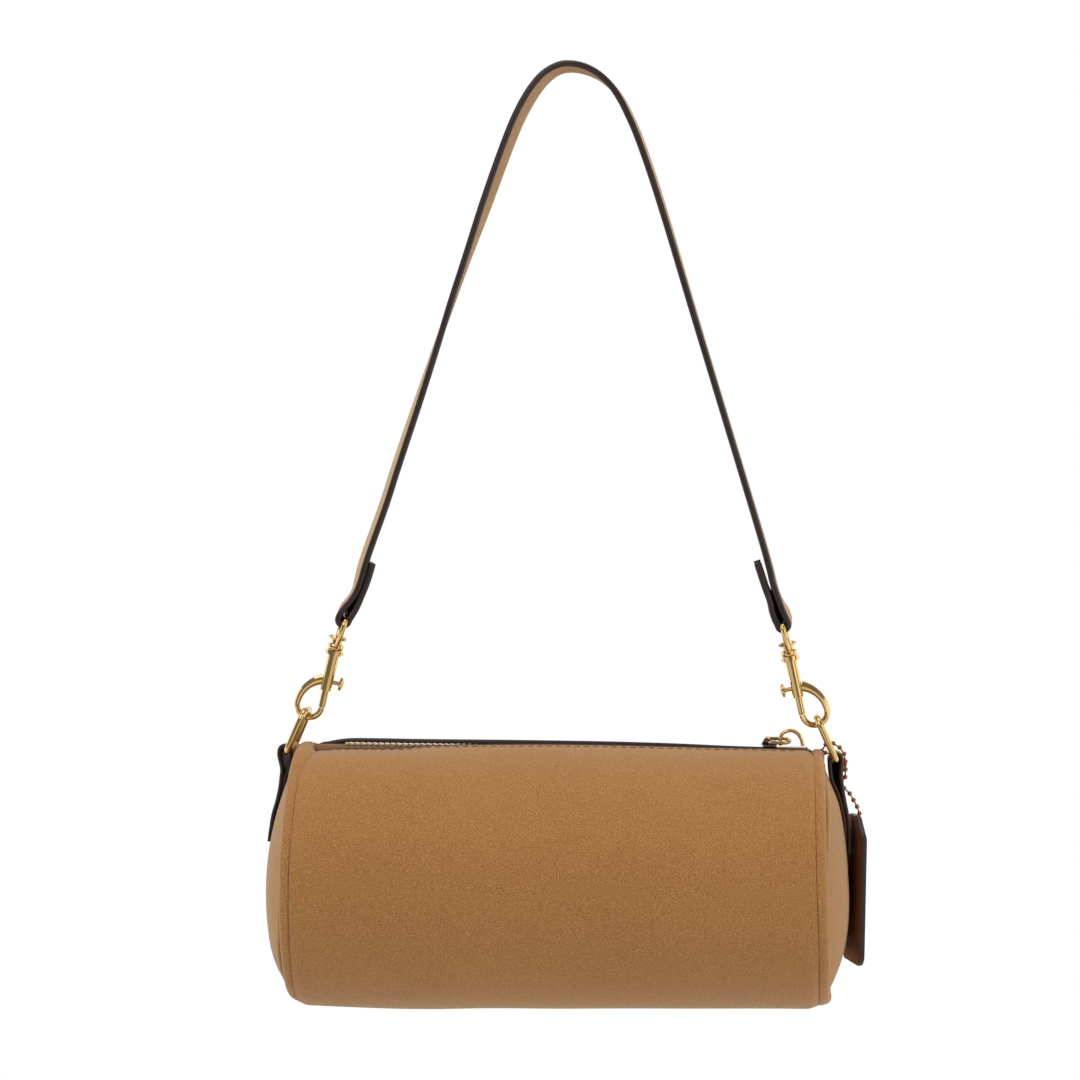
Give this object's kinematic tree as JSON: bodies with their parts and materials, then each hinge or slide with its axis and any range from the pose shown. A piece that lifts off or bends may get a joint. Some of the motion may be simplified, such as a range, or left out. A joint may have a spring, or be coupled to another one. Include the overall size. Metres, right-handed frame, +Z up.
{
  "type": "barrel bag",
  "caption": "Tan nubuck barrel bag with a zip along its top and a short leather strap on two swivelling snap hooks, with a bare hang tag on a ball chain.",
  "frame": {"origin": "the saddle under the apex of the strap, where a hand, shoulder or peg carries the bag", "axes": "+X along the barrel towards the closed zip's slider and the hang tag, +Y from the front to the back, +Z up"},
  "size_m": [0.2413, 0.1064, 0.3797],
  "materials": {
    "nubuck": "matte nap",
    "edge_leather": "smooth with painted edges",
    "lining": "woven",
    "zip_tape": "woven",
    "stiffener": "pressed fibre board",
    "foam": "open foam",
    "gold_metal": "polished plating",
    "chain_metal": "satin copper tone",
    "spring_steel": "drawn wire"
  },
  "bodies": {
    "strap": {"strap_face": "nubuck", "strap_backing": "edge_leather"},
    "eye_left": {"eye_left": "gold_metal"},
    "eye_right": {"eye_right": "gold_metal"},
    "hook_left": {"hook_left": "gold_metal", "swivel_rivet_left": "gold_metal", "plunger_spring_left": "spring_steel"},
    "hook_right": {"hook_right": "gold_metal", "swivel_rivet_right": "gold_metal", "plunger_spring_right": "spring_steel"},
    "plunger_left": {"plunger_left": "gold_metal", "knob_left": "gold_metal"},
    "plunger_right": {"plunger_right": "gold_metal", "knob_right": "gold_metal"},
    "bag": {"body_wrap": "nubuck", "interlining": "stiffener", "lining": "lining", "lining_end_left": "lining", "lining_end_right": "lining", "inner_pocket": "lining", "end_cap_left": "nubuck", "end_cap_right": "nubuck", "rim_band_left": "nubuck", "rim_band_right": "nubuck", "end_board_left": "stiffener", "end_board_right": "stiffener", "end_foam_left": "foam", "end_foam_right": "foam", "zip_tape_front": "zip_tape", "zip_tape_back": "zip_tape", "zip_teeth_front": "gold_metal", "zip_teeth_back": "gold_metal", "zip_stops": "gold_metal", "strap_tab_left": "nubuck", "strap_tab_right": "nubuck", "chain_loop": "chain_metal"},
    "ring_left": {"ring_left": "gold_metal"},
    "ring_right": {"ring_right": "gold_metal"},
    "zip_slider": {"zip_slider": "gold_metal", "slider_bridge": "gold_metal"},
    "zip_pull": {"pull_link": "gold_metal", "pull_clip": "gold_metal", "pull_tab": "edge_leather"},
    "hang_tag": {"hang_tag_face": "edge_leather", "hang_tag_backing": "edge_leather", "chain_drop": "chain_metal", "chain_coupling": "chain_metal"}
  },
  "joints": [
    {"name": "eye_left_swing", "type": "hinge", "parent": "strap", "child": "eye_left", "pos_m": [-0.08826, 0, -0.22259], "axis": [0, 1, 0], "range_deg": [0, 2]},
    {"name": "eye_right_swing", "type": "hinge", "parent": "strap", "child": "eye_right", "pos_m": [0.08826, 0, -0.22259], "axis": [0, -1, 0], "range_deg": [0, 2]},
    {"name": "hook_left_swivel", "type": "hinge", "parent": "eye_left", "child": "hook_left", "pos_m": [-0.08826, 0, -0.22259], "axis": [-0.2164, 0, -0.9763], "range_deg": [-10, 10]},
    {"name": "hook_right_swivel", "type": "hinge", "parent": "eye_right", "child": "hook_right", "pos_m": [0.08826, 0, -0.22259], "axis": [-0.2164, 0, 0.9763], "range_deg": [-10, 10]},
    {"name": "plunger_left_slide", "type": "slide", "parent": "hook_left", "child": "plunger_left", "axis": [0.2164, 0, 0.9763], "range_m": [0, 0.0044], "stiffness_N_per_m": 600, "springref_m": -0.004, "deforming": ["plunger_spring_left"]},
    {"name": "plunger_right_slide", "type": "slide", "parent": "hook_right", "child": "plunger_right", "axis": [-0.2164, 0, 0.9763], "range_m": [0, 0.0044], "stiffness_N_per_m": 600, "springref_m": -0.004, "deforming": ["plunger_spring_right"]},
    {"name": "bag_swing", "type": "hinge", "parent": "strap", "child": "bag", "pos_m": [0, 0, -0.26217], "axis": [1, 0, 0], "range_deg": [-60, 60]},
    {"name": "ring_left_swing", "type": "hinge", "parent": "bag", "child": "ring_left", "pos_m": [-0.1097, 0, -0.27605], "axis": [0, -1, 0], "range_deg": [0, 1.5]},
    {"name": "ring_right_swing", "type": "hinge", "parent": "bag", "child": "ring_right", "pos_m": [0.1097, 0, -0.27605], "axis": [0, 1, 0], "range_deg": [0, 1.5]},
    {"name": "zip_run", "type": "slide", "parent": "bag", "child": "zip_slider", "axis": [1, 0, 0], "range_m": [-0.1846, 0], "deforming": ["zip_teeth_front", "zip_teeth_back"]},
    {"name": "pull_swing", "type": "hinge", "parent": "zip_slider", "child": "zip_pull", "pos_m": [0.09144, 0, -0.26908], "axis": [0, 1, 0], "range_deg": [0, 75]},
    {"name": "tag_swing", "type": "hinge", "parent": "bag", "child": "hang_tag", "pos_m": [0.11355, 0, -0.28444], "axis": [0, -1, 0], "range_deg": [0, 75]}
  ]
}
